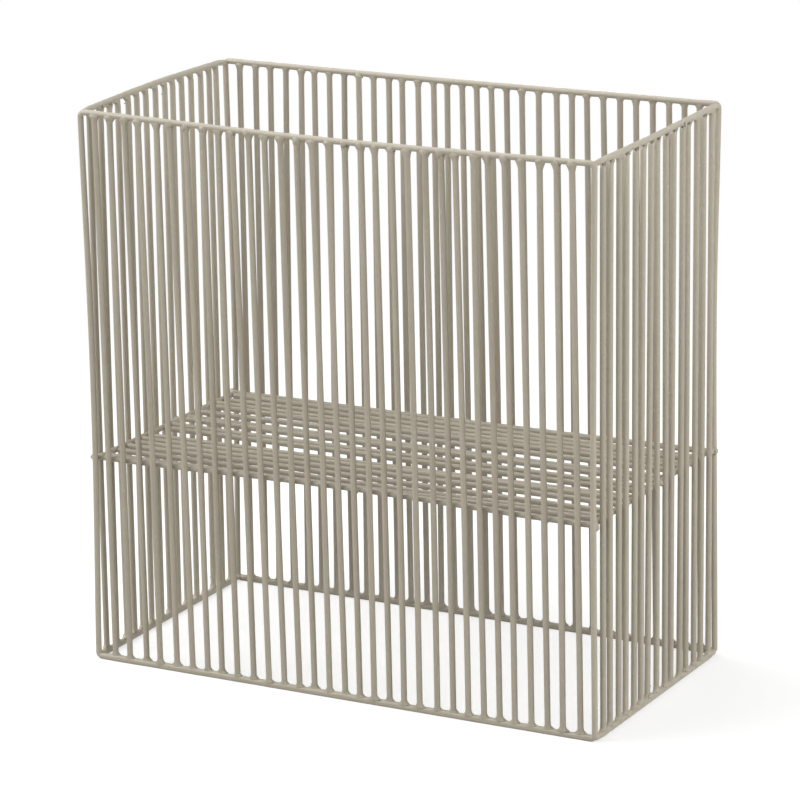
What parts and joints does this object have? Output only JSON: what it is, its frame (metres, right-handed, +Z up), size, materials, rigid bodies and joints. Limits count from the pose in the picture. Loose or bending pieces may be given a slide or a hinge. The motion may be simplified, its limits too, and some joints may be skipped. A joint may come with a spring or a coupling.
{
  "type": "wire basket",
  "caption": "Open-topped rectangular basket of welded, powder-coated wire with close-set uprights and an inner wire shelf that holds pots; open underneath.",
  "frame": {"origin": "on the ground, under the middle of the basket", "axes": "+X to the right along the width, +Y to the back along the depth, +Z up"},
  "size_m": [0.495, 0.253, 0.5],
  "materials": {
    "coated_wire": "satin greige powder coat, a little uneven over the welds"
  },
  "bodies": {
    "root": {"front_frame": "coated_wire", "front_uprights_01": "coated_wire", "front_uprights_02": "coated_wire", "front_uprights_03": "coated_wire", "front_uprights_04": "coated_wire", "front_uprights_05": "coated_wire", "front_uprights_06": "coated_wire", "front_uprights_07": "coated_wire", "front_uprights_08": "coated_wire", "front_uprights_09": "coated_wire", "front_uprights_10": "coated_wire", "front_uprights_11": "coated_wire", "back_frame": "coated_wire", "back_uprights_01": "coated_wire", "back_uprights_02": "coated_wire", "back_uprights_03": "coated_wire", "back_uprights_04": "coated_wire", "back_uprights_05": "coated_wire", "back_uprights_06": "coated_wire", "back_uprights_07": "coated_wire", "back_uprights_08": "coated_wire", "back_uprights_09": "coated_wire", "back_uprights_10": "coated_wire", "back_uprights_11": "coated_wire", "left_bottom_rail": "coated_wire", "left_top_rail": "coated_wire", "left_uprights_01": "coated_wire", "left_uprights_02": "coated_wire", "left_uprights_03": "coated_wire", "left_uprights_04": "coated_wire", "left_uprights_05": "coated_wire", "right_bottom_rail": "coated_wire", "right_top_rail": "coated_wire", "right_uprights_01": "coated_wire", "right_uprights_02": "coated_wire", "right_uprights_03": "coated_wire", "right_uprights_04": "coated_wire", "right_uprights_05": "coated_wire", "shelf_front_bar": "coated_wire", "shelf_back_bar": "coated_wire", "shelf_left_bar": "coated_wire", "shelf_right_bar": "coated_wire", "shelf_wire_01": "coated_wire", "shelf_wire_02": "coated_wire", "shelf_wire_03": "coated_wire", "shelf_wire_04": "coated_wire", "shelf_wire_05": "coated_wire", "shelf_wire_06": "coated_wire", "shelf_wire_07": "coated_wire", "shelf_wire_08": "coated_wire", "shelf_wire_09": "coated_wire", "shelf_wire_10": "coated_wire", "shelf_wire_11": "coated_wire", "shelf_wire_12": "coated_wire", "shelf_wire_13": "coated_wire", "shelf_wire_14": "coated_wire", "shelf_wire_15": "coated_wire"}
  },
  "joints": []
}
